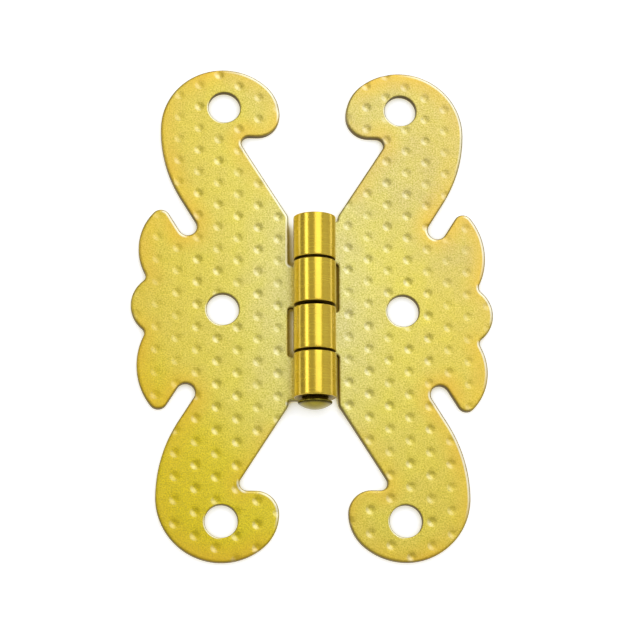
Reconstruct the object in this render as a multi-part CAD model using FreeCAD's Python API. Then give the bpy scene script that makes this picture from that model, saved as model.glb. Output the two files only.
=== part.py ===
import FreeCAD, Part
import math
import os

os.makedirs("parts", exist_ok=True)

# Butterfly hinge of two stamped leaves and a pin, open and lying flat on its back, in millimetres.
# X runs across the leaves, Y along the pin and Z out of the mounting face.
# The origin is on the back, under the middle of the barrel.
# Both leaves are the same stamping: the left one is the right one turned half round about Z.

# Sheet, pin and barrel
sheet_t = 1.0
pin_d = 3.4
pin_clearance = 0.05
knuckle_pairs = 2
knuckle_pitch = 6.08
end_play = 0.4
leaf_slide = 0.03
tab_offset = 0.14
curl_seam = 0.2
notch_clearance = 0.5
root_r = 0.4

# Domed head at the lower end of the pin, plain end at the upper one
head_d = 4.4
head_rim = 0.25
head_dome = 0.75
head_gap = 0.5
pin_recess = 0.1
pin_chamfer = 0.3

# Screw holes, three in a line on each leaf
hole_d = 4.2
hole_reach = 11.7
hole_pitch = 27.4

# Scrolls at the ends of a leaf, measured from the outer screw holes
scroll_r = 8.3
scroll_drop = 3.1
hook_trim = 1.0
hook_depth = 3.9
hook_start_deg = 130.0
throat_inset = 1.5
throat_r = 0.95

# Waist beside the barrel
waist_rise = 0.44
waist_r = 0.8

# Slot between the arm and the ear, measured inwards from the scroll's outer side
slot_inset = 3.65
slot_y = 11.0
slot_r = 1.22
slot_lean_deg = 32.0

# Ears and the lobe between them, measured outwards from the scroll's outer side
ear_rise = 2.15
ear_tip_r = 1.25
ear_shoulder_deg = 40.5
ear_twist_deg = 2.5
ear_overhang = 2.63
cusp_y = 3.5
cusp_r = 0.85
lobe_overhang = 3.5
lobe_offset = -0.42

# Softened front edges, and the staggered dimples pressed into the front
edge_break = 0.2
dimple_d = 1.2
dimple_depth = 0.13
dimple_sides = 8
dimple_margin = 0.1
dimple_column_gap = 2.605
dimple_pitch = 2.985
dimple_first_x = 4.57
dimple_first_y = -0.6

bore_r = pin_d / 2 + pin_clearance
barrel_r = bore_r + sheet_t
barrel_half = knuckle_pairs * knuckle_pitch
knuckle_length = knuckle_pitch - end_play
inner_x = barrel_r + notch_clearance
waist_half = barrel_half + waist_rise
scroll_x = hole_reach + scroll_r
scroll_y = hole_pitch - scroll_drop
underside_y = hole_pitch - hook_depth
ear_top = slot_y + ear_rise
throat_x = hole_reach - throat_inset
plate_shift = tab_offset - leaf_slide
Z = FreeCAD.Vector(0, 0, 1)


def polar(x, y, r, deg):
    """The point at distance r from x, y in the direction deg."""
    return x + r * math.cos(math.radians(deg)), y + r * math.sin(math.radians(deg))


def ear_arc(side):
    """Tip centre of an ear, and centre, radius and shoulder angle of its outer side, worked out above."""
    lean = math.radians(slot_lean_deg)
    tip_y = ear_top - ear_tip_r
    tip_x = scroll_x - slot_inset + (tip_y - slot_y) * math.tan(lean) + (slot_r + ear_tip_r) / math.cos(lean)
    shoulder_deg = ear_shoulder_deg - side * ear_twist_deg
    turn = math.cos(math.radians(shoulder_deg))
    outer_r = (scroll_x + ear_overhang - tip_x - ear_tip_r * turn) / (1 - turn)
    outer_x, outer_y = polar(tip_x, tip_y, ear_tip_r - outer_r, shoulder_deg)
    return (tip_x, tip_y), (outer_x, outer_y), outer_r, shoulder_deg


def cusp(side):
    """Where an ear's outer side meets the lobe, worked out above."""
    outer, outer_r = ear_arc(side)[1:3]
    y = cusp_y + side * lobe_offset
    return outer[0] + math.sqrt(outer_r ** 2 - (y - outer[1]) ** 2), y


def half_outline(side):
    """Edges of one half of a leaf's outline, from the waist to the cusp; side is 1 above, -1 below."""
    lean = math.radians(slot_lean_deg)

    def beside_slot(offset, distance):
        x, y = polar(scroll_x - slot_inset, slot_y, offset, -slot_lean_deg)
        return polar(x, y, distance, 90 - slot_lean_deg)

    hook_inset = hook_trim / (1 + math.cos(math.radians(hook_start_deg)))
    hook_r = scroll_r - hook_inset
    hook_x, hook_y = polar(hole_reach, scroll_y, hook_inset, hook_start_deg)
    hook_tip_r = hook_y - underside_y
    hook_side = (hook_x - hook_r, hook_y)
    hook_foot = (hook_side[0] + hook_tip_r, underside_y)
    hook_start = polar(hook_x, hook_y, hook_r, hook_start_deg)
    hook_middle = polar(hook_x, hook_y, hook_r, (hook_start_deg + 180) / 2)

    scroll_side = (scroll_x, scroll_y)
    arm_foot = beside_slot(-slot_r, 0)
    rise = (scroll_y - arm_foot[1]) * math.sin(lean) - (scroll_x - arm_foot[0]) * math.cos(lean)
    arm_r = rise / (1 - math.cos(lean))
    arm_end = polar(scroll_x - arm_r, scroll_y, arm_r, -slot_lean_deg)
    arm_middle = polar(scroll_x - arm_r, scroll_y, arm_r, -slot_lean_deg / 2)

    tip, outer, outer_r, shoulder_deg = ear_arc(side)
    ear_side = polar(*tip, ear_tip_r, 180 - slot_lean_deg)
    ear_crown = polar(*tip, ear_tip_r, (180 - slot_lean_deg + shoulder_deg) / 2)
    shoulder = polar(*tip, ear_tip_r, shoulder_deg)
    ear_out = (outer[0] + outer_r, outer[1])

    stretches = [
        ((inner_x, waist_half), (throat_x, underside_y)),
        ((throat_x, underside_y), hook_foot),
        (hook_foot, polar(hook_foot[0], hook_y, hook_tip_r, 225), hook_side),
        (hook_side, hook_middle, hook_start),
        (hook_start, polar(hole_reach, scroll_y, scroll_r, hook_start_deg / 2), scroll_side),
        (scroll_side, arm_middle, arm_end),
        (arm_end, arm_foot),
        (arm_foot, beside_slot(0, -slot_r), beside_slot(slot_r, 0)),
        (beside_slot(slot_r, 0), ear_side),
        (ear_side, ear_crown, shoulder),
        (shoulder, ear_out, cusp(side)),
    ]
    return [stretch(points, side) for points in stretches]


def stretch(points, side=1):
    """A straight edge through two points or an arc through three, mirrored below where side is -1."""
    places = [FreeCAD.Vector(x, side * y, 0) for x, y in points]
    if len(places) == 2:
        return Part.LineSegment(*places).toShape()
    return Part.Arc(*places).toShape()


def outline():
    """The closed outline of a leaf's sheet, without its tabs."""
    low_x, low_y = cusp(-1)
    lobe = stretch((cusp(1), (scroll_x + lobe_overhang, lobe_offset), (low_x, -low_y)))
    waist = stretch(((inner_x, -waist_half), (inner_x, waist_half)))
    edges = half_outline(1) + half_outline(-1) + [lobe, waist]
    return Part.Wire(Part.__sortEdges__(edges))


def round_corner(plate, x, y, r):
    """Round the upright edge of a plate that stands at x, y."""
    corner = FreeCAD.Vector(x, y, sheet_t / 2)
    upright = min(plate.Edges, key=lambda edge: edge.CenterOfMass.distanceToPoint(corner))
    return plate.makeFillet(r, [upright])


def front_face(plate):
    """The flat front of a plate."""
    fronts = [face for face in plate.Faces if abs(face.BoundBox.ZMin - sheet_t) < 1e-6]
    return max(fronts, key=lambda face: face.Area)


def blank():
    """A leaf's flat sheet, with rounded corners, screw holes and a softened front edge."""
    plate = Part.Face(outline()).extrude(Z * sheet_t)
    for side in (1, -1):
        plate = round_corner(plate, inner_x, side * waist_half, waist_r)
        plate = round_corner(plate, throat_x, side * underside_y, throat_r)
        cusp_x, cusp_up = cusp(side)
        plate = round_corner(plate, cusp_x, side * cusp_up, cusp_r)
    for row in (-1, 0, 1):
        place = FreeCAD.Vector(hole_reach, row * hole_pitch, 0)
        plate = plate.cut(Part.makeCylinder(hole_d / 2, sheet_t, place))
    return plate.makeChamfer(edge_break, front_face(plate).Edges)


def dimple_places(plate):
    """Staggered points whose dimples lie wholly on the flat front."""
    front = front_face(plate)
    rim = Part.Compound(front.Edges)
    columns = int((scroll_x + lobe_overhang) / dimple_column_gap)
    rows = int((hole_pitch + scroll_r) / dimple_pitch)
    clear = dimple_d / 2 + dimple_margin
    places = []
    for column in range(columns):
        x = dimple_first_x + column * dimple_column_gap
        stagger = column % 2 * dimple_pitch / 2
        for row in range(-rows, rows + 1):
            y = dimple_first_y + stagger + row * dimple_pitch
            place = FreeCAD.Vector(x, y, sheet_t)
            on_front = front.isInside(place, 1e-6, True)
            if on_front and rim.distToShape(Part.Vertex(place))[0] > clear:
                places.append(place)
    return places


def dimple_cutter(place):
    """A faceted punch with its point below the front, and its base as far above it."""
    step = 360 / dimple_sides
    corners = []
    for number in range(dimple_sides + 1):
        x, y = polar(place.x, place.y, dimple_d, number * step)
        corners.append(FreeCAD.Vector(x, y, place.z + dimple_depth))
    point = Part.Vertex(place - Z * dimple_depth)
    return Part.makeLoft([point, Part.makePolygon(corners)], True, True)


def knuckle(middle_y):
    """One knuckle: the tab that leaves the waist and the roll that it ends in."""
    low = middle_y - knuckle_length / 2
    high = middle_y + knuckle_length / 2
    root = inner_x + edge_break
    flare_x = inner_x - root_r
    upper = high + root_r
    lower = low - root_r
    tab_edges = [
        stretch(((0, low), (0, high))),
        stretch(((0, high), (flare_x, high))),
        stretch(((flare_x, high), polar(flare_x, upper, root_r, -45), (inner_x, upper))),
        stretch(((inner_x, upper), (root, upper))),
        stretch(((root, upper), (root, lower))),
        stretch(((root, lower), (inner_x, lower))),
        stretch(((inner_x, lower), polar(flare_x, lower, root_r, 45), (flare_x, low))),
        stretch(((flare_x, low), (0, low))),
    ]
    tab = Part.Face(Part.Wire(tab_edges)).extrude(Z * sheet_t)
    return tab.fuse(curl(low))


def curl(low):
    """The sheet rolled from under the axis round the far side and over the top to the seam."""
    start = -90.0
    seam = math.degrees(math.asin((sheet_t + curl_seam - barrel_r) / barrel_r)) - 360
    middle = (start + seam) / 2

    def place(r, deg):
        x, z = polar(0, barrel_r, r, deg)
        return FreeCAD.Vector(x, low, z)

    section = Part.Wire([
        Part.Arc(place(barrel_r, start), place(barrel_r, middle), place(barrel_r, seam)).toShape(),
        Part.LineSegment(place(barrel_r, seam), place(bore_r, seam)).toShape(),
        Part.Arc(place(bore_r, seam), place(bore_r, middle), place(bore_r, start)).toShape(),
        Part.LineSegment(place(bore_r, start), place(barrel_r, start)).toShape(),
    ])
    return Part.Face(section).extrude(FreeCAD.Vector(0, knuckle_length, 0))


def leaf():
    """The right leaf about its plate's middle: every second knuckle from the upper end down."""
    plate = blank()
    cutters = [dimple_cutter(place) for place in dimple_places(plate)]
    plate = plate.cut(Part.Compound(cutters))
    for pair in range(knuckle_pairs):
        middle_y = barrel_half - (2 * pair + 0.5) * knuckle_pitch
        plate = plate.fuse(knuckle(middle_y - tab_offset))
    return plate.removeSplitter()


def hinge_pin():
    """The pin, turned about the barrel's axis, from the domed head up to the plain end."""
    shank_r = pin_d / 2
    head_r = head_d / 2
    under_head = end_play / 2 + leaf_slide - barrel_half - head_gap
    rim_y = under_head - head_rim
    upper = barrel_half - end_play / 2 - leaf_slide - pin_recess

    def place(r, y):
        return FreeCAD.Vector(r, y, barrel_r)

    dome_r = (head_r ** 2 + head_dome ** 2) / (2 * head_dome)
    half_r = head_r / 2
    half_y = rim_y - head_dome + dome_r - math.sqrt(dome_r ** 2 - half_r ** 2)
    corners = [
        place(head_r, rim_y),
        place(head_r, under_head),
        place(shank_r, under_head),
        place(shank_r, upper - pin_chamfer),
        place(shank_r - pin_chamfer, upper),
        place(0, upper),
        place(0, rim_y - head_dome),
    ]
    edges = [Part.LineSegment(a, b).toShape() for a, b in zip(corners, corners[1:])]
    edges.append(Part.Arc(corners[-1], place(half_r, half_y), corners[0]).toShape())
    return Part.Face(Part.Wire(edges)).revolve(place(0, 0), FreeCAD.Vector(0, 1, 0), 360)


right_leaf = leaf()
left_leaf = right_leaf.copy()
left_leaf.rotate(FreeCAD.Vector(0, 0, 0), Z, 180)
right_leaf.translate(FreeCAD.Vector(0, plate_shift, 0))
left_leaf.translate(FreeCAD.Vector(0, -plate_shift, 0))

left_leaf.exportStep("parts/left_leaf.step")
right_leaf.exportStep("parts/right_leaf.step")
hinge_pin().exportStep("parts/hinge_pin.step")
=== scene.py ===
import math

import bpy
import numpy as np
from mathutils import Matrix, Vector, kdtree, noise
from mathutils.geometry import delaunay_2d_cdt


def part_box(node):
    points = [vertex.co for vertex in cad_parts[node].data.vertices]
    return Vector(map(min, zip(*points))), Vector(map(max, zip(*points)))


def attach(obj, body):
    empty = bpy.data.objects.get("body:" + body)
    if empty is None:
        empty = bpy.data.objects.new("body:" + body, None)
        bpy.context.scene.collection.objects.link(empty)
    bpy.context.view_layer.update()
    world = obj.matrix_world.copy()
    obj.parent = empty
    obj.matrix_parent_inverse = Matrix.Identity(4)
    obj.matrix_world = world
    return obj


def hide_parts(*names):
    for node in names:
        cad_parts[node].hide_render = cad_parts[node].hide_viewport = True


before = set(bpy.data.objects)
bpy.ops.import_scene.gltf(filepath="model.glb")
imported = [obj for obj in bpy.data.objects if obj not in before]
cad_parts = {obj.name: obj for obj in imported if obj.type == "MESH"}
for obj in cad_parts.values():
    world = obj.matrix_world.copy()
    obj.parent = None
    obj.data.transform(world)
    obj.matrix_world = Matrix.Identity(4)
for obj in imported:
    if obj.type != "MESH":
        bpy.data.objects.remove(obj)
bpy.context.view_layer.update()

# Lengths are in millimetres up to the moment a mesh, lamp or camera is made, which is in metres
MM = 0.001
TOUCH = 0.001
ROUND_OFF = 0.005

# Outlines: the step they are drawn in, the turn that counts as a corner, and the ratio of neighbouring
# steps at which the longer one is a straight run
OUTLINE_STEP = 0.26
CORNER_DEG = 40.0
STRAIGHT_RATIO = 2

# Sheet of the leaves: its front edge is drawn down by the press, its back edge hardly.
# A roll is the width and the height of a rounded edge; tabs and holes have narrower ones.
EDGE_RINGS = (0.0, 0.015, 0.05, 0.11, 0.2, 0.32, 0.45)
FRONT_ROLL = (0.31, 0.14)
BACK_ROLL = (0.13, 0.11)
TAB_ROLL = 0.3
HOLE_SOFTNESS = 0.55

# Front edges: a painted highlight where they face the light at the upper right, and painted shade,
# darkest, where they face away.
# Both are shares by distance from the sheet's side, times a slope and an offset on how far it faces there.
# The painted shade has a least share, so a thin dark line of painted shade runs all round.
BRIGHT_SIDE_DEG = 35.0
NOTCH_REACH = 1.5
PAINTED_EDGE_HIGHLIGHT = ((0.05, 0.0), (0.15, 0.95), (0.25, 0.9), (0.5, 0.0))
PAINTED_HIGHLIGHT_TURN = (3.0, -1.6)
PAINTED_EDGE_SHADE = ((0.0, 0.9), (0.09, 0.6), (0.17, 0.0))
PAINTED_SHADE_TURN = (-1.5, 0.5)
LEAST_PAINTED_SHADE = 0.7

# Browned lacquer: how far it reaches in from the outline, where it starts along X and Y, and its patches
WARM_REACH = 2.8
WARM_FROM = (6.0, 14.0)
WARM_SIZE = 5.0
WARM_PATCHES = (0.7, 0.8)
WARM_SHARE = 0.62

# Points that the flat of a sheet is filled with, in steps of a grid on the plate and in rows on the tabs
GRID_STEP = 0.42
PLATE_START = 2
RIM_CLEARANCE = 0.45
ROLL_STEPS = 72
ROLL_LEAD = 4
ROLL_ROW = 0.42
KEEP_INSIDE = 1
MERGE_WITHIN = 1e-7

# Dimples: a soft bowl that is wider than the punched pit it stands for, and shallower towards the ears.
# Rings are the share of the bowl's radius and the number of points on it.
PIT_DEPTHS = (0.10, 0.16)
SAME_COLUMN = 0.05
NEIGHBOURS = (-2, -1, 0, 1, 2)
BOWL_R = 0.72
BOWL_DEPTH = 0.08
# A painted glint on each dimple's wall that faces the light, and the direction that light comes from
BOWL_PAINTED_GLINT = 0.85
BOWL_BRIGHT_DEG = 40.0
BOWL_RINGS = ((0.0, 1), (0.2, 8), (0.4, 14), (0.6, 18), (0.8, 20), (1.0, 20))
BOWL_SPREAD = 0.30
BOWL_SEED = 7
FADE_FROM = 13.5
FADE_TO = 21.0
FADE_LEAST = {"left_leaf": 0.30, "right_leaf": 0.45}

# Slight unevenness of the front, and the layers of the noise that it and the browned lacquer come from
WAVE_HEIGHT = 0.02
WAVE_SIZE = 7.0
WAVE_LAYER = 0.5
WARM_LAYER = 3.5

# Pin: softened rim of its head, fillet under it, chamfer of its plain end, and painted shade round the
# edge of the dome.
# The tuck is how far the dome's last ring draws in and down, as shares of the softness.
PIN_SIDES = 72
DOME_STEPS = 22
HEAD_SOFTNESS = 0.09
HEAD_TUCK = (0.4, 0.2)
HEAD_FILLET = 0.05
CHAMFER = 0.3
SHANK_EASE = 0.02
END_EASE = 0.03
HEAD_PAINTED_SHADE = ((0.84, 0.0), (0.94, 0.8))

# Finishes of a leaf, in the order of its materials; the side and the knuckles' ends are darkened with
# painted shade
FRONT, PLAIN, SIDE, KNUCKLE_END = range(4)

# Colours of the front: a pale ellipse round the barrel, and a slant from the lower left to the upper
# right, both a painted sheen of the lamps
PAINTED_SHEEN_SHAPE = (1.0, 0.45, 0.0)
PAINTED_SHEEN_REACH = 24.0
SLANT_REACH = 50.0

# Middle half of a noise field, where most of its values lie
FIELD_MIDDLE = (0.25, 0.75)

# Sockets of a Mix node for colours
MIX_SHARE, MIX_A, MIX_B = 0, 6, 7
MIX_RESULT = 2

# Camera, in the photograph's frame of 636 by 635 pixels
IMAGE_WIDTH = 636.0
CAMERA_AZIMUTH_DEG = 21.55
CAMERA_ELEVATION_DEG = 75.11
CAMERA_ROLL_DEG = 22.00
CAMERA_DISTANCE = 259.2
CAMERA_ASIDE = (0.678, -0.752)
FOCAL_PIXELS = 2000
SENSOR_WIDTH = 36.0

# Softboxes: lean from straight above towards +X and +Y, half angles that they fill, and brightness
LAMP_DISTANCE = 1500.0
LAMPS = (
    ("key", (17, 36), (17, 28), 1.3),
    ("strip", (-49, 20), (7, 14), 2.0),
    ("fill", (64, 20), (22, 25), 0.22),
    ("low", (0, -70), (62, 9), 0.7),
)
ROOM_LIGHT = (0.26, 0.45)

# Floor: painted shade by how open it lies, dark brown where shut in under the sheet and pale where free
FLOOR_SIZE = 4000.0
FLOOR_GLOW = 0.75
FLOOR_SHADE_REACH = 6.0
FLOOR_PAINTED_SHADE = (
    (0.18, (0.17, 0.11, 0.008)),
    (0.29, (0.42, 0.35, 0.14)),
    (0.36, (0.70, 0.68, 0.55)),
    (0.50, (0.80, 0.79, 0.73)),
    (0.64, (0.86, 0.86, 0.85)),
    (0.80, (0.90, 0.90, 0.90)),
)


def cad_triangles(node):
    """A node's welded vertices and its triangles."""
    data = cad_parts[node].data
    data.calc_loop_triangles()
    spots = np.array([vertex.co for vertex in data.vertices]) / MM
    triangles = np.array([triangle.vertices for triangle in data.loop_triangles])
    welded, places = np.unique(np.round(spots, 3), axis=0, return_inverse=True)
    return welded, places.reshape(-1)[triangles]


def back_loops(spots, triangles):
    """Loops round the flat back, with the sheet on their left seen from the front, the outer one first."""
    flat = np.all(np.abs(spots[triangles][:, :, 2]) < TOUCH, axis=1)
    sides = set()
    for a, b, c in triangles[flat]:
        sides.update(((a, b), (b, c), (c, a)))
    after = {b: a for a, b in sides if (b, a) not in sides}
    loops = []
    while after:
        start = min(after)
        loop = [start]
        here = after.pop(start)
        while here != start:
            loop.append(here)
            here = after.pop(here)
        loops.append(spots[loop][:, :2])
    return sorted(loops, key=lambda loop: np.ptp(loop[:, 1]), reverse=True)


def lengthen_tabs(loop, length):
    """The outline with each tab drawn out flat, past the axis, by the length that is rolled up."""
    points = []
    for here, after in zip(loop, np.roll(loop, -1, axis=0)):
        points.append(here)
        if abs(here[0]) < TOUCH and abs(after[0]) < TOUCH:
            points.append((-length, here[1]))
            points.append((-length, after[1]))
    return np.array(points)


def unit(vectors):
    """Vectors of length one."""
    return vectors / np.linalg.norm(vectors, axis=-1, keepdims=True)


def smooth_loop(loop, step):
    """A loop of even short steps that runs smoothly through the loop's points and keeps its corners."""
    ahead = np.roll(loop, -1, axis=0) - loop
    length = np.linalg.norm(ahead, axis=1)
    ahead = unit(ahead)
    behind = np.roll(ahead, 1, axis=0)
    before = np.roll(length, 1)
    corner = np.sum(ahead * behind, axis=1) < math.cos(math.radians(CORNER_DEG))
    tangent = unit(ahead + behind)
    straight_on = length > STRAIGHT_RATIO * before
    straight_up_to = before > STRAIGHT_RATIO * length
    tangent[straight_on] = ahead[straight_on]
    tangent[straight_up_to] = behind[straight_up_to]
    leave = np.where(corner[:, None], ahead, tangent)
    arrive = np.roll(np.where(corner[:, None], behind, tangent), -1, axis=0)
    points = []
    for number, here in enumerate(loop):
        after = loop[(number + 1) % len(loop)]
        count = max(1, round(length[number] / step))
        for part in np.arange(count) / count:
            rest = 1 - part
            points.append(
                rest ** 2 * (1 + 2 * part) * here
                + part ** 2 * (1 + 2 * rest) * after
                + part * rest * length[number] * (rest * leave[number] - part * arrive[number])
            )
    return np.clip(points, loop.min(axis=0), loop.max(axis=0))


def softness(loop, radius):
    """How wide the rounded edge is at each point of a loop: 1 on the plate, less on the narrow tabs."""
    return TAB_ROLL + (1 - TAB_ROLL) * np.clip(loop[:, 0] / radius, 0, 1)


def inset(loop, distance):
    """The loop moved into the sheet, by a distance for each point."""
    ahead = unit(np.roll(loop, -1, axis=0) - loop)
    behind = np.roll(ahead, 1, axis=0)
    along = unit(ahead + behind)
    inward = np.stack((-along[:, 1], along[:, 0]), axis=1)
    stretch = 1 / np.sum(along * ahead, axis=1)
    return loop + inward * (distance * stretch)[:, None]


def faces_bright_side(loop, radius):
    """How far the sheet's side faces the bright side at each point of a loop, from 1 down to -1.

    The tabs, and the notches that lie closed in between them, face neither side.
    """
    angle = math.radians(BRIGHT_SIDE_DEG)
    outward = unit(loop - inset(loop, np.full(len(loop), EDGE_RINGS[1])))
    facing = outward @ (math.cos(angle), math.sin(angle))
    tabs = loop[loop[:, 0] < 0]
    if len(tabs):
        between = (loop[:, 1] > tabs[:, 1].min()) & (loop[:, 1] < tabs[:, 1].max())
        facing[between & (loop[:, 0] < NOTCH_REACH * radius)] = 0
    return facing


def inside(points, loops):
    """Which points lie on the sheet that the loops bound."""
    odd = np.zeros(len(points), bool)
    x, y = points[:, 0], points[:, 1]
    for loop in loops:
        for (ax, ay), (bx, by) in zip(loop, np.roll(loop, -1, axis=0)):
            if ay == by:
                continue
            spans = (ay > y) != (by > y)
            odd ^= spans & (x < (bx - ax) * (y - ay) / (by - ay) + ax)
    return odd


def warmth(points, loop):
    """How far the lacquer has browned at each point: unevenly, and only near the sheet's outline."""
    tree = kdtree.KDTree(len(loop))
    for number, (x, y) in enumerate(loop):
        tree.insert((x, y, 0), number)
    tree.balance()
    level, swing = WARM_PATCHES
    shares = []
    for x, y in points:
        near = max(0, 1 - tree.find((x, y, 0))[2] / WARM_REACH)
        patchy = level + swing * noise.noise(Vector((x / WARM_SIZE, y / WARM_SIZE, WARM_LAYER)))
        clear = max(x - WARM_FROM[0], abs(y) - WARM_FROM[1]) / WARM_REACH
        shares.append(WARM_SHARE * near * patchy * min(max(clear, 0), 1))
    return np.clip(shares, 0, 1)


def pit_centres(spots, sheet):
    """The lowest points of the punched pits."""
    shallow, deep = PIT_DEPTHS
    pits = (spots[:, 2] > sheet - deep) & (spots[:, 2] < sheet - shallow)
    return spots[pits][:, :2]


def with_edge_dimples(centres, loops):
    """The staggered dimples, with those of the same pattern that the sheet's edges cut."""
    columns = np.unique(np.round(centres[:, 0], 2))
    gap = np.diff(columns).min()
    first = centres[np.abs(centres[:, 0] - columns[len(columns) // 2]) < SAME_COLUMN]
    pitch = np.diff(np.sort(first[:, 1])).min()
    found = {}
    for x, y in centres:
        for column in NEIGHBOURS:
            for row in NEIGHBOURS:
                spot = (x + column * gap, y + (row + column % 2 / 2) * pitch)
                key = (round(spot[0] / gap), round(spot[1] / pitch * 2))
                found.setdefault(key, spot)
    spots = np.array([found[key] for key in sorted(found)])
    return spots[inside(spots, loops) & (spots[:, 0] > columns[0] - gap / 2)]


def fill(rims, points):
    """Triangles between the rims, through all the points; rims come first in their numbering."""
    spots = np.vstack([*rims, points])
    edges = []
    start = 0
    for rim in rims:
        edges += [(start + i, start + (i + 1) % len(rim)) for i in range(len(rim))]
        start += len(rim)
    corners = [Vector(spot) for spot in spots]
    made = delaunay_2d_cdt(corners, edges, [], KEEP_INSIDE, MERGE_WITHIN, True)
    origin = [ids[0] for ids in made[3]]
    triangles = np.array([[origin[corner] for corner in face] for face in made[2]])
    middles = spots[triangles].mean(axis=1)
    return triangles[inside(middles, rims)]


def drop(distance, roll):
    """How far a rounded edge falls away at a distance from the sheet's side."""
    width, height = roll
    short = np.clip(1 - np.asarray(distance) / width, 0, 1)
    return height * (1 - np.sqrt(1 - short ** 2))


def wave(points):
    """The slight unevenness of a hammered sheet, from 0 down to the wave's height."""
    heights = [noise.noise(Vector((x / WAVE_SIZE, y / WAVE_SIZE, WAVE_LAYER))) for x, y in points]
    return WAVE_HEIGHT * (0.5 + 0.5 * np.array(heights))


def pressed(points, dimples, fade_least, turn):
    """How deep the dimples press the front in at each point, and how much painted glint their side towards
    the light has.
    """
    chance = np.random.default_rng(BOWL_SEED)
    bright_side = math.radians(BOWL_BRIGHT_DEG)
    bright = turn * np.array((math.cos(bright_side), math.sin(bright_side)))
    depth = np.zeros(len(points))
    painted_glint = np.zeros(len(points))
    for x, y in dimples:
        far = np.clip((x - FADE_FROM) / (FADE_TO - FADE_FROM), 0, 1)
        strength = (1 - (1 - fade_least) * far) * (1 + BOWL_SPREAD * chance.uniform(-1, 1))
        offset = (points - (x, y)) / BOWL_R
        away = np.hypot(*offset.T)
        near = away < 1
        rise = 1 - away[near] ** 2
        lit = np.clip(-offset[near] @ bright, 0, 1)
        depth[near] = np.maximum(depth[near], BOWL_DEPTH * strength * rise ** 2)
        painted_glint[near] = np.maximum(painted_glint[near], BOWL_PAINTED_GLINT * strength * rise * lit)
    return depth, painted_glint


def rolled(spots, radius, sweep, length):
    """Flat sheet to leaf: what lies past the axis is rolled round it to the front."""
    spots = spots.copy()
    past = spots[:, 0] < 0
    angle = -math.pi / 2 + sweep * spots[past, 0] / length
    reach = radius - spots[past, 2]
    spots[past, 0] = reach * np.cos(angle)
    spots[past, 2] = radius + reach * np.sin(angle)
    return spots


def roll_sweep(spots, radius):
    """The angle that a knuckle is rolled through, from under the axis to the seam."""
    across = np.hypot(spots[:, 0], spots[:, 2] - radius)
    on_barrel = (np.abs(across - radius) < ROUND_OFF) & (spots[:, 2] > TOUCH)
    angle = np.arctan2(spots[on_barrel, 2] - radius, spots[on_barrel, 0])
    return np.max(np.mod(-math.pi / 2 - angle, 2 * math.pi))


def grid_points(loops, dimples, length):
    """Points that fill the flat sheet: even on the plate, in rings on the dimples, in rows on the tabs."""
    low = loops[0].min(axis=0)
    high = loops[0].max(axis=0)
    row_step = GRID_STEP * math.sqrt(3) / 2
    plate = []
    for row, y in enumerate(np.arange(low[1], high[1], row_step)):
        for x in np.arange(GRID_STEP * PLATE_START + row % 2 * GRID_STEP / 2, high[0], GRID_STEP):
            plate.append((x, y))
    plate = np.array(plate)
    for centre in dimples:
        plate = plate[np.hypot(*(plate - centre).T) > BOWL_R + GRID_STEP / 2]
    rings = []
    for part, count in BOWL_RINGS:
        angles = np.arange(count) * 2 * math.pi / count + part
        ring = np.stack((np.cos(angles), np.sin(angles)), axis=1) * part * BOWL_R
        rings.append((dimples[:, None, :] + ring[None, :, :]).reshape(-1, 2))
    tabs = []
    for x in np.arange(-ROLL_STEPS, ROLL_LEAD) * length / ROLL_STEPS:
        for y in np.arange(low[1], high[1], ROLL_ROW):
            tabs.append((x, y))
    points = np.vstack([plate, *rings, tabs])
    return points[inside(points, loops)]


def edge_fields(loops, soft, total, radius, turn):
    """For each point of the plan: distance from the side, width of the rounded edge, and facing."""
    away = np.full(total, EDGE_RINGS[-1])
    wide = np.ones(total)
    facing = np.zeros(total)
    start = 0
    for loop, width in zip(loops, soft):
        side = faces_bright_side(loop, radius) * turn
        for distance in EDGE_RINGS[:-1]:
            end = start + len(width)
            away[start:end] = distance
            wide[start:end] = width
            facing[start:end] = side
            start = end
    return away, wide, facing


def edge_strips(rings, first_rim):
    """Faces between the rings of the rounded edges, and the pairs of points along the sheet's side."""
    strips = []
    sides = []
    start = 0
    rim_start = first_rim
    for group in rings:
        count = len(group[0])
        steps = len(group) - 1
        for step in range(steps):
            outer = start + step * count
            inner = rim_start if step == steps - 1 else outer + count
            for i in range(count):
                j = (i + 1) % count
                strips.append((outer + i, outer + j, inner + j, inner + i))
                if step == 0:
                    sides.append((outer + i, outer + j))
        start += count * steps
        rim_start += count
    return strips, sides


def sheet_faces(plan, tops, sides):
    """Faces of the closed sheet, front and back in turn and then its side, and the finish of each."""
    total = len(plan)
    faces = []
    finish = []
    for face in tops:
        past = np.mean(plan[list(face), 0]) < 0
        faces.append(face)
        finish.append(PLAIN if past else FRONT)
        faces.append(tuple(total + corner for corner in reversed(face)))
        finish.append(PLAIN)
    for a, b in sides:
        faces.append((total + a, total + b, b, a))
        finish.append(KNUCKLE_END if plan[a, 0] < 0 else SIDE)
    return faces, finish


def share_by_facing(facing, line, least=0):
    """A share from a slope and an offset on the facing, from least to 1."""
    slope, offset = line
    return np.clip(slope * facing + offset, least, 1)


def front_layers(plan, outline, away, facing, painted_glint):
    """How much painted highlight and painted shade each point of the front has, and how browned it is; the
    back has none of these.
    """
    # Painted highlight on edges that face the light, with the dimples' painted glints; painted shade on
    # edges that face away, and a thin line of it all round
    painted_highlight = np.interp(away, *zip(*PAINTED_EDGE_HIGHLIGHT)) * share_by_facing(facing, PAINTED_HIGHLIGHT_TURN)
    painted_shade = np.interp(away, *zip(*PAINTED_EDGE_SHADE)) * share_by_facing(facing, PAINTED_SHADE_TURN, LEAST_PAINTED_SHADE)
    layers = {
        "painted_highlight": np.clip(np.maximum(painted_highlight, painted_glint), 0, 1),
        "painted_shade": painted_shade,
        "warmth": warmth(plan, outline),
    }
    plain_back = np.zeros(len(plan))
    return {layer: np.concatenate((values, plain_back)) for layer, values in layers.items()}


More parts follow.
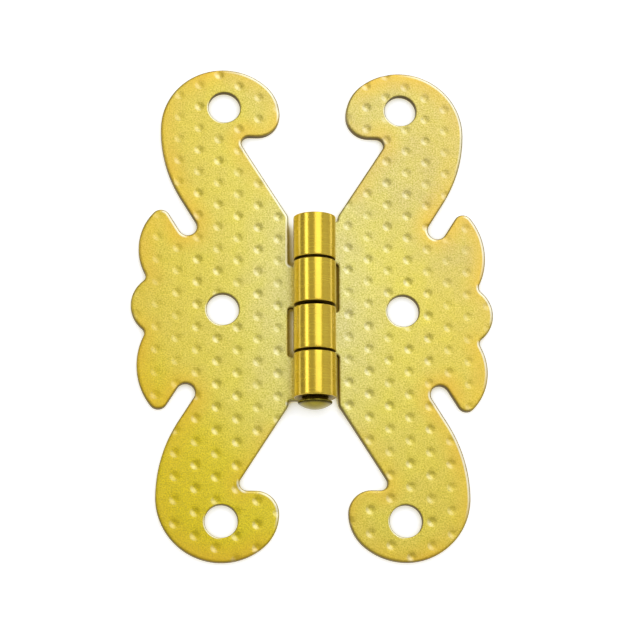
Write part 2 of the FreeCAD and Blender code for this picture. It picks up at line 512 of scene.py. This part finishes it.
def leaf_mesh(node, turn):
    """The leaf as rolled and pressed sheet: vertices, faces, the finish of each face, and point layers."""
    spots, triangles = cad_triangles(node)
    spots = spots * (turn, turn, 1)
    radius = spots[:, 2].max() / 2
    sheet = np.round(spots[spots[:, 0] > 2 * radius, 2], 3).max()
    sweep = roll_sweep(spots, radius)
    length = sweep * (radius - sheet / 2)
    loops = back_loops(spots, triangles)
    loops[0] = lengthen_tabs(loops[0], length)
    loops = [smooth_loop(loop, OUTLINE_STEP) for loop in loops]
    dimples = with_edge_dimples(pit_centres(spots[spots[:, 0] > radius], sheet), loops)

    soft = [softness(loop, radius) for loop in loops]
    soft[1:] = [wide * HOLE_SOFTNESS for wide in soft[1:]]
    rings = [[inset(loop, distance * wide) for distance in EDGE_RINGS] for loop, wide in zip(loops, soft)]
    rims = [group[-1] for group in rings]
    clear = [inset(rim, GRID_STEP * RIM_CLEARANCE * wide) for rim, wide in zip(rims, soft)]
    points = grid_points(clear, dimples, length)
    edges = [ring for group in rings for ring in group[:-1]]
    plan = np.vstack([*edges, *rims, points])

    away, wide, facing = edge_fields(loops, soft, len(plan), radius, turn)
    bend = wave(plan) * np.clip((plan[:, 0] - radius) / radius, 0, 1)
    press, painted_glint = pressed(plan, dimples, FADE_LEAST[node], turn)
    front = np.column_stack((plan, sheet - wide * drop(away, FRONT_ROLL) - press - bend))
    back = np.column_stack((plan, drop(away * wide, BACK_ROLL)))
    spots = np.vstack([rolled(layer, radius, sweep, length) for layer in (front, back)])

    first_rim = sum(len(ring) for ring in edges)
    strips, sides = edge_strips(rings, first_rim)
    fills = [tuple(first_rim + corner for corner in face) for face in fill(rims, points)]
    faces, finish = sheet_faces(plan, strips + fills, sides)
    layers = front_layers(plan, loops[0], away, facing, painted_glint)
    return spots * (turn, turn, 1), faces, finish, layers


def mesh_piece(name, spots, faces, materials, finish, layers=None):
    """A smooth-shaded object of a mesh, with its finishes and its point layers."""
    data = bpy.data.meshes.new(name)
    data.from_pydata((np.asarray(spots) * MM).tolist(), [], faces)
    for material in materials:
        data.materials.append(material)
    data.polygons.foreach_set("material_index", finish)
    data.polygons.foreach_set("use_smooth", [True] * len(faces))
    for layer, values in (layers or {}).items():
        data.attributes.new(layer, "FLOAT", "POINT").data.foreach_set("value", values)
    data.update()
    piece = bpy.data.objects.new(name, data)
    bpy.context.collection.objects.link(piece)
    return piece


def add(tree, kind, **settings):
    """A shader node with its settings."""
    made = tree.nodes.new(kind)
    for key, value in settings.items():
        setattr(made, key, value)
    return made


def metal(name, coat, coat_roughness=0.3, coat_ior=1.6):
    """A new metal with so much lacquer: the material, its node tree and its shader node."""
    material = bpy.data.materials.new(name)
    material.use_nodes = True
    tree = material.node_tree
    shader = tree.nodes["Principled BSDF"]
    shader.inputs["Metallic"].default_value = 1.0
    shader.inputs["Coat Weight"].default_value = coat
    shader.inputs["Coat IOR"].default_value = coat_ior
    shader.inputs["Coat Roughness"].default_value = coat_roughness
    return material, tree, shader


def joined(tree, operation, first, second):
    """Two fields put together by a maths operation."""
    node = add(tree, "ShaderNodeMath", operation=operation)
    tree.links.new(first, node.inputs[0])
    tree.links.new(second, node.inputs[1])
    return node.outputs[0]


def ranged(tree, field, source, target):
    """A field brought from one range to another, and kept within it."""
    node = add(tree, "ShaderNodeMapRange")
    node.inputs["From Min"].default_value = source[0]
    node.inputs["From Max"].default_value = source[1]
    node.inputs["To Min"].default_value = target[0]
    node.inputs["To Max"].default_value = target[1]
    tree.links.new(field, node.inputs["Value"])
    return node.outputs["Result"]


def noise_field(tree, source, stretch, detail=3.0, roughness=0.55):
    """Noise with so many cells to the metre along each axis."""
    mapping = add(tree, "ShaderNodeMapping")
    mapping.inputs["Scale"].default_value = stretch
    tree.links.new(source, mapping.inputs["Vector"])
    field = add(tree, "ShaderNodeTexNoise")
    field.inputs["Scale"].default_value = 1.0
    field.inputs["Detail"].default_value = detail
    field.inputs["Roughness"].default_value = roughness
    tree.links.new(mapping.outputs["Vector"], field.inputs["Vector"])
    return field.outputs["Fac"]


def spread(tree, field, low, high):
    """A field stretched from its middle half to the range given."""
    return ranged(tree, field, FIELD_MIDDLE, (low, high))


def ramp(tree, field, stops):
    """Colours along a field."""
    node = add(tree, "ShaderNodeValToRGB")
    elements = node.color_ramp.elements
    while len(elements) < len(stops):
        elements.new(0.5)
    for element, (place, colour) in zip(elements, stops):
        element.position = place
        element.color = (*colour, 1.0)
    tree.links.new(field, node.inputs["Fac"])
    return node.outputs["Color"]


def tinted(tree, colour, field, stops):
    """A colour multiplied by colours along a field."""
    mix = add(tree, "ShaderNodeMix", data_type="RGBA", blend_type="MULTIPLY")
    mix.inputs[MIX_SHARE].default_value = 1.0
    tree.links.new(colour, mix.inputs[MIX_A])
    tree.links.new(ramp(tree, field, stops), mix.inputs[MIX_B])
    return mix.outputs[MIX_RESULT]


def overlaid(tree, colour, layer, tone):
    """A colour that gives way to a tone where the mesh's layer says so."""
    share = add(tree, "ShaderNodeAttribute", attribute_name=layer).outputs["Fac"]
    mix = add(tree, "ShaderNodeMix", data_type="RGBA")
    mix.inputs[MIX_B].default_value = (*tone, 1.0)
    tree.links.new(share, mix.inputs[MIX_SHARE])
    tree.links.new(colour, mix.inputs[MIX_A])
    return mix.outputs[MIX_RESULT]


def bump(tree, field, depth_mm):
    """A bump of the field."""
    node = add(tree, "ShaderNodeBump")
    node.inputs["Strength"].default_value = 1.0
    node.inputs["Distance"].default_value = depth_mm * MM
    tree.links.new(field, node.inputs["Height"])
    return node.outputs["Normal"]


def painted_sheen_round_barrel(tree, spot):
    """The front's colour: paler beside the barrel, a painted sheen of the lamp above, and warmer towards
    the ears.
    """
    squeezed = add(tree, "ShaderNodeVectorMath", operation="MULTIPLY")
    squeezed.inputs[1].default_value = PAINTED_SHEEN_SHAPE
    tree.links.new(spot, squeezed.inputs[0])
    reach = add(tree, "ShaderNodeVectorMath", operation="LENGTH")
    tree.links.new(squeezed.outputs["Vector"], reach.inputs[0])
    outward = ranged(tree, reach.outputs["Value"], (0.0, PAINTED_SHEEN_REACH * MM), (0.0, 1.0))
    return ramp(tree, outward, (
        (0.12, (0.79, 0.74, 0.34)),
        (0.24, (0.80, 0.73, 0.28)),
        (0.45, (0.81, 0.71, 0.15)),
        (0.80, (0.81, 0.67, 0.11)),
    ))


def painted_sheen_slant(tree, spot, colour):
    """The front's colour, yellower at its lower left and paler at its upper right, a painted sheen on the
    side towards the light.
    """
    split = add(tree, "ShaderNodeSeparateXYZ")
    tree.links.new(spot, split.inputs["Vector"])
    aslant = joined(tree, "ADD", split.outputs["X"], split.outputs["Y"])
    across = ranged(tree, aslant, (-SLANT_REACH * MM, SLANT_REACH * MM), (0.0, 1.0))
    return tinted(tree, colour, across, (
        (0.10, (1.03, 0.97, 0.02)),
        (0.19, (1.03, 0.98, 0.10)),
        (0.27, (1.02, 0.99, 0.55)),
        (0.66, (0.97, 0.95, 0.66)),
        (0.78, (0.88, 0.87, 1.10)),
    ))


def hammered_brass():
    """The leaves' front: satin and grainy, with painted sheen, and with painted highlights, painted shade
    and browned places from the mesh's layers.
    """
    material, tree, shader = metal("hammered_brass", 0.6, 0.25)
    spot = add(tree, "ShaderNodeTexCoord").outputs["Object"]
    # Painted sheen: paler round the barrel and towards the upper right
    colour = painted_sheen_slant(tree, spot, painted_sheen_round_barrel(tree, spot))
    mottle = noise_field(tree, spot, (350, 350, 350))
    grain = noise_field(tree, spot, (5200, 5200, 5200), detail=2.0)
    colour = tinted(tree, colour, mottle, ((0.3, (0.95, 0.96, 0.80)), (0.7, (1.04, 1.04, 1.20))))
    colour = tinted(tree, colour, grain, ((0.3, (0.74, 0.74, 0.40)), (0.7, (1.18, 1.18, 1.70))))
    colour = overlaid(tree, colour, "warmth", (0.88, 0.53, 0.02))
    # Painted highlight on edges and dimples that face the light
    colour = overlaid(tree, colour, "painted_highlight", (0.99, 0.97, 0.78))
    # Painted shade on edges that face away, and a thin dark line all round
    colour = overlaid(tree, colour, "painted_shade", (0.16, 0.10, 0.01))
    tree.links.new(colour, shader.inputs["Base Color"])
    tree.links.new(spread(tree, mottle, 0.36, 0.46), shader.inputs["Roughness"])
    tree.links.new(bump(tree, grain, 0.018), shader.inputs["Normal"])
    return material


def rolled_brass():
    """The sheet's plain back, which is the outside of the knuckles: brushed round the roll."""
    material, tree, shader = metal("rolled_brass", 0.6, 0.14, 1.8)
    spot = add(tree, "ShaderNodeTexCoord").outputs["Object"]
    lines = noise_field(tree, spot, (260, 9000, 260), detail=2.0)
    mottle = noise_field(tree, spot, (300, 500, 300))
    colour = ramp(tree, mottle, ((0.3, (0.82, 0.56, 0.015)), (0.7, (0.88, 0.63, 0.025))))
    colour = tinted(tree, colour, lines, ((0.3, (0.95, 0.94, 0.80)), (0.7, (1.03, 1.03, 1.20))))
    tree.links.new(colour, shader.inputs["Base Color"])
    tree.links.new(spread(tree, lines, 0.21, 0.29), shader.inputs["Roughness"])
    tree.links.new(bump(tree, lines, 0.0007), shader.inputs["Normal"])
    return material


def sheared_brass_painted_shade(name, dark, light):
    """The stamped sides of the sheet: rougher, with upright shear marks, and dark brown, partly a duller
    colour of their own and partly painted shade.
    """
    material, tree, shader = metal(name, 0.0)
    spot = add(tree, "ShaderNodeTexCoord").outputs["Object"]
    marks = noise_field(tree, spot, (3200, 3200, 260), detail=2.0)
    colour = ramp(tree, marks, ((0.25, dark), (0.75, light)))
    tree.links.new(colour, shader.inputs["Base Color"])
    tree.links.new(spread(tree, marks, 0.38, 0.55), shader.inputs["Roughness"])
    tree.links.new(bump(tree, marks, 0.008), shader.inputs["Normal"])
    return material


def pin_brass():
    """The pin: polished and a little darker, with faint turning lines and painted shade round the edge of
    its dome.
    """
    material, tree, shader = metal("pin_brass", 0.2, 0.16)
    spot = add(tree, "ShaderNodeTexCoord").outputs["Object"]
    lines = noise_field(tree, spot, (200, 6000, 200), detail=2.0)
    mottle = noise_field(tree, spot, (700, 700, 700))
    colour = ramp(tree, mottle, ((0.3, (0.19, 0.145, 0.006)), (0.7, (0.28, 0.225, 0.012))))
    # Painted shade round the edge of the dome
    colour = overlaid(tree, colour, "painted_shade", (0.05, 0.035, 0.004))
    tree.links.new(colour, shader.inputs["Base Color"])
    tree.links.new(spread(tree, mottle, 0.20, 0.32), shader.inputs["Roughness"])
    tree.links.new(bump(tree, lines, 0.001), shader.inputs["Normal"])
    return material


def dome_profile(start, dome, head_r):
    """Radius and place along the dome of the pin's head, from its middle to just inside its rim."""
    dome_r = (head_r ** 2 + dome ** 2) / (2 * dome)
    profile = []
    for part in np.linspace(0, 1, DOME_STEPS):
        r = part * head_r
        profile.append((r, start + dome_r - math.sqrt(dome_r ** 2 - r ** 2)))
    tuck_in, tuck_down = HEAD_TUCK
    last_y = profile[-1][1]
    profile[-1] = (head_r - HEAD_SOFTNESS * tuck_in, last_y - HEAD_SOFTNESS * tuck_down)
    return profile


def rim_profile(head_r, low, high):
    """Radius and place round the two softened edges of the head's rim."""
    middle_r = head_r - HEAD_SOFTNESS
    profile = []
    for turn in np.radians((30, 60, 90)):
        y = low + HEAD_SOFTNESS * (1 - math.cos(turn))
        profile.append((middle_r + HEAD_SOFTNESS * math.sin(turn), y))
    for turn in np.radians((0, 30, 60, 90)):
        y = high - HEAD_SOFTNESS + HEAD_SOFTNESS * math.sin(turn)
        profile.append((middle_r + HEAD_SOFTNESS * math.cos(turn), y))
    return profile


def shank_profile(shank_r, start, end):
    """Radius and place along the shank, from the fillet under the head to the middle of the plain end."""
    return [
        (shank_r + HEAD_FILLET, start),
        (shank_r, start + HEAD_FILLET),
        (shank_r, end - CHAMFER - SHANK_EASE),
        (shank_r - SHANK_EASE, end - CHAMFER + SHANK_EASE),
        (shank_r - CHAMFER + END_EASE, end - END_EASE),
        (shank_r - CHAMFER - END_EASE, end),
        (0.0, end),
    ]


def pin_profile():
    """Radius and place along the pin, from the middle of the dome up to the middle of the plain end."""
    spots, _ = cad_triangles("hinge_pin")
    low, high = (np.array(corner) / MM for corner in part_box("hinge_pin"))
    axis_z = (low[2] + high[2]) / 2
    across = np.hypot(spots[:, 0], spots[:, 2] - axis_z)
    head_r = across.max()
    shank_r = across[spots[:, 1] > 0].max()
    rim = spots[across > head_r - ROUND_OFF, 1]
    profile = dome_profile(low[1], rim.min() - low[1], head_r)
    profile += rim_profile(head_r, rim.min(), rim.max())
    profile += shank_profile(shank_r, rim.max(), high[1])
    return profile, axis_z


def turned(profile, axis_z, count):
    """Vertices and faces of a profile turned about the barrel's axis."""
    spots = []
    rows = []
    for r, y in profile:
        if r == 0:
            rows.append([len(spots)] * count)
            spots.append((0, y, axis_z))
            continue
        rows.append(list(range(len(spots), len(spots) + count)))
        for number in range(count):
            angle = 2 * math.pi * number / count
            spots.append((r * math.cos(angle), y, axis_z + r * math.sin(angle)))
    faces = []
    for lower, upper in zip(rows, rows[1:]):
        for i in range(count):
            j = (i + 1) % count
            face = (lower[i], upper[i], upper[j], lower[j])
            faces.append(tuple(dict.fromkeys(face)))
    return spots, faces


def head_painted_shade(spots):
    """How much painted shade the pin has: only round the edge of the dome of its head."""
    spots = np.array(spots)
    axis_z = (spots[:, 2].min() + spots[:, 2].max()) / 2
    across = np.hypot(spots[:, 0], spots[:, 2] - axis_z)
    on_dome = spots[:, 1] < spots[across.argmax(), 1] - TOUCH
    return on_dome * np.interp(across / across.max(), *zip(*HEAD_PAINTED_SHADE))


def build_hinge():
    """The two leaves and the pin, each riding on the body of the node that it stands for."""
    finishes = [
        hammered_brass(),
        rolled_brass(),
        # The sides and the knuckles' ends are dark with painted shade
        sheared_brass_painted_shade("sheared_brass_painted_shade", (0.06, 0.04, 0.005), (0.15, 0.10, 0.012)),
        sheared_brass_painted_shade("knuckle_end_painted_shade", (0.20, 0.14, 0.015), (0.34, 0.24, 0.03)),
    ]
    for node, turn, body in (("left_leaf", -1, "fixed_leaf"), ("right_leaf", 1, "swinging_leaf")):
        spots, faces, finish, layers = leaf_mesh(node, turn)
        piece = mesh_piece(node + "_sheet", spots, faces, finishes, finish, layers)
        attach(piece, body)
        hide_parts(node)
    spots, faces = turned(*pin_profile(), PIN_SIDES)
    layers = {"painted_shade": head_painted_shade(spots)}
    pin = mesh_piece("hinge_pin_turned", spots, faces, [pin_brass()], [0] * len(faces), layers)
    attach(pin, "fixed_leaf")
    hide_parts("hinge_pin")


def pale_floor():
    """A white floor that keeps the shadow, with painted shade where it lies shut in under the sheet; seen
    straight or in metal it is as white as the page.
    """
    material = bpy.data.materials.new("pale_floor")
    material.use_nodes = True
    tree = material.node_tree
    shader = tree.nodes["Principled BSDF"]
    shader.inputs["Roughness"].default_value = 0.9
    shader.inputs["Specular IOR Level"].default_value = 0.0
    path = add(tree, "ShaderNodeLightPath")
    open_sky = add(tree, "ShaderNodeAmbientOcclusion", samples=16)
    open_sky.inputs["Distance"].default_value = FLOOR_SHADE_REACH * MM
    # Painted shade: darker and browner where the floor lies shut in, in its colour and its glow
    tone = ramp(tree, open_sky.outputs["AO"], FLOOR_PAINTED_SHADE)
    tree.links.new(tone, shader.inputs["Base Color"])
    tree.links.new(tone, shader.inputs["Emission Color"])
    seen = joined(tree, "MAXIMUM", path.outputs["Is Camera Ray"], path.outputs["Is Glossy Ray"])
    seen = joined(tree, "MAXIMUM", seen, path.outputs["Is Transmission Ray"])
    glow = ranged(tree, seen, (0.0, 1.0), (0.0, FLOOR_GLOW))
    tree.links.new(glow, shader.inputs["Emission Strength"])
    half = FLOOR_SIZE / 2
    corners = [(-half, -half, 0), (half, -half, 0), (half, half, 0), (-half, half, 0)]
    floor = mesh_piece("floor", corners, [(0, 1, 2, 3)], [material], [0])


def softbox(name, lean_deg, half_deg, level):
    """A rectangular lamp that faces the hinge, leaning from straight above towards +X and +Y.

    Half of its width is seen under half_deg; level is how bright its face looks, 1 being white.
    """
    lean = [math.tan(math.radians(angle)) for angle in lean_deg]
    half = [math.tan(math.radians(angle)) for angle in half_deg]
    lamp = bpy.data.lights.new(name, "AREA")
    lamp.shape = "RECTANGLE"
    lamp.size = 2 * half[0] * LAMP_DISTANCE * MM
    lamp.size_y = 2 * half[1] * LAMP_DISTANCE * MM
    lamp.energy = level * math.pi * lamp.size * lamp.size_y
    holder = bpy.data.objects.new(name, lamp)
    away = Vector((lean[0], lean[1], 1)).normalized()
    across = (Vector((1, 0, 0)) - away * away.x).normalized()
    turn = Matrix((across, away.cross(across), away)).transposed().to_4x4()
    holder.matrix_world = Matrix.Translation(away * LAMP_DISTANCE * MM) @ turn
    bpy.context.collection.objects.link(holder)


def grey_room():
    """A grey world that is lighter overhead."""
    world = bpy.data.worlds.new("room")
    world.use_nodes = True
    tree = world.node_tree
    background = tree.nodes["Background"]
    background.inputs["Color"].default_value = (1.0, 1.0, 1.0, 1.0)
    split = add(tree, "ShaderNodeSeparateXYZ")
    tree.links.new(add(tree, "ShaderNodeTexCoord").outputs["Generated"], split.inputs["Vector"])
    rise = ranged(tree, split.outputs["Z"], (0.0, 1.0), ROOM_LIGHT)
    tree.links.new(rise, background.inputs["Strength"])
    bpy.context.scene.world = world


def studio():
    """A key light at the upper right, a strip on the left, a fill on the right and a low one in front."""
    for lamp in LAMPS:
        softbox(*lamp)
    grey_room()


def camera():
    """The camera of the photograph."""
    azimuth = math.radians(CAMERA_AZIMUTH_DEG)
    elevation = math.radians(CAMERA_ELEVATION_DEG)
    roll = math.radians(CAMERA_ROLL_DEG)
    flat = math.cos(elevation)
    back = Vector((-math.sin(azimuth) * flat, -math.cos(azimuth) * flat, math.sin(elevation)))
    level = Vector((math.cos(azimuth), -math.sin(azimuth), 0))
    upright = back.cross(level)
    right = math.cos(roll) * level + math.sin(roll) * upright
    up = math.cos(roll) * upright - math.sin(roll) * level
    place = right * CAMERA_ASIDE[0] + up * CAMERA_ASIDE[1] + back * CAMERA_DISTANCE
    data = bpy.data.cameras.new("camera")
    data.sensor_fit = "HORIZONTAL"
    data.sensor_width = SENSOR_WIDTH
    data.lens = FOCAL_PIXELS / IMAGE_WIDTH * SENSOR_WIDTH
    data.clip_start = MM
    holder = bpy.data.objects.new("camera", data)
    facing = Matrix((right, up, back)).transposed().to_4x4()
    holder.matrix_world = Matrix.Translation(place * MM) @ facing
    bpy.context.collection.objects.link(holder)
    bpy.context.scene.camera = holder


build_hinge()
pale_floor()
studio()
camera()
bpy.context.scene.view_settings.view_transform = "Standard"
